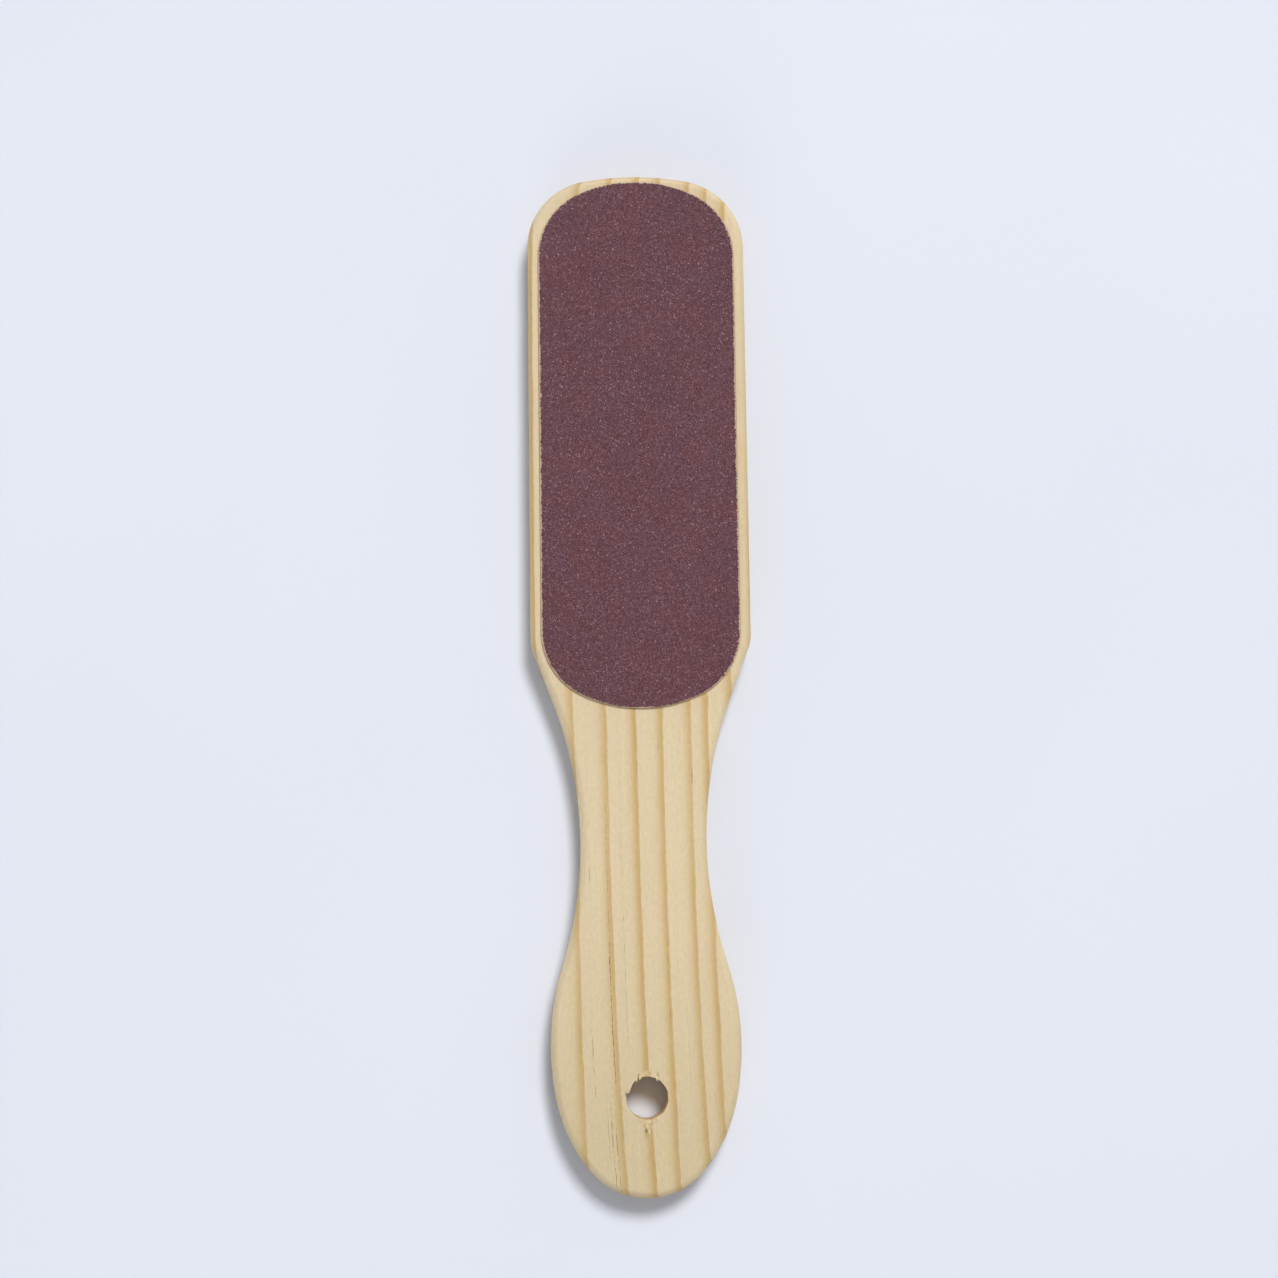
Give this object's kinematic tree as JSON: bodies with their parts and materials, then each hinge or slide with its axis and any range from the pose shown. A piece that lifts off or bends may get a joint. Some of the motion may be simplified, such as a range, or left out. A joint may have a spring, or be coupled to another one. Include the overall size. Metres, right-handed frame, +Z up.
{
  "type": "foot file",
  "caption": "Flat wooden foot file: broad head with an abrasive sheet bonded to each side, waisted neck, and a bulged handle with a hanging hole.",
  "frame": {"origin": "middle of the length and width, on the outer face of the back abrasive coat, which the file lies on", "axes": "+X across the file, +Y along it towards the head, +Z up through the thickness towards the front abrasive sheet"},
  "size_m": [0.0538, 0.25, 0.0103],
  "materials": {
    "pine": "bare sanded softwood, straight grain along the file",
    "coarse_grit": "purple-brown bonded abrasive grain, coarse",
    "fine_grit": "purple-brown bonded abrasive grain, fine",
    "backing_cloth": "stiff resin-filled woven carrier, cut edge",
    "glue": "cured adhesive film, amber"
  },
  "bodies": {
    "root": {"wooden_paddle": "pine", "front_glue_film": "glue", "front_backing_cloth": "backing_cloth", "front_grit_coat": "coarse_grit", "back_glue_film": "glue", "back_backing_cloth": "backing_cloth", "back_grit_coat": "fine_grit"}
  },
  "joints": []
}
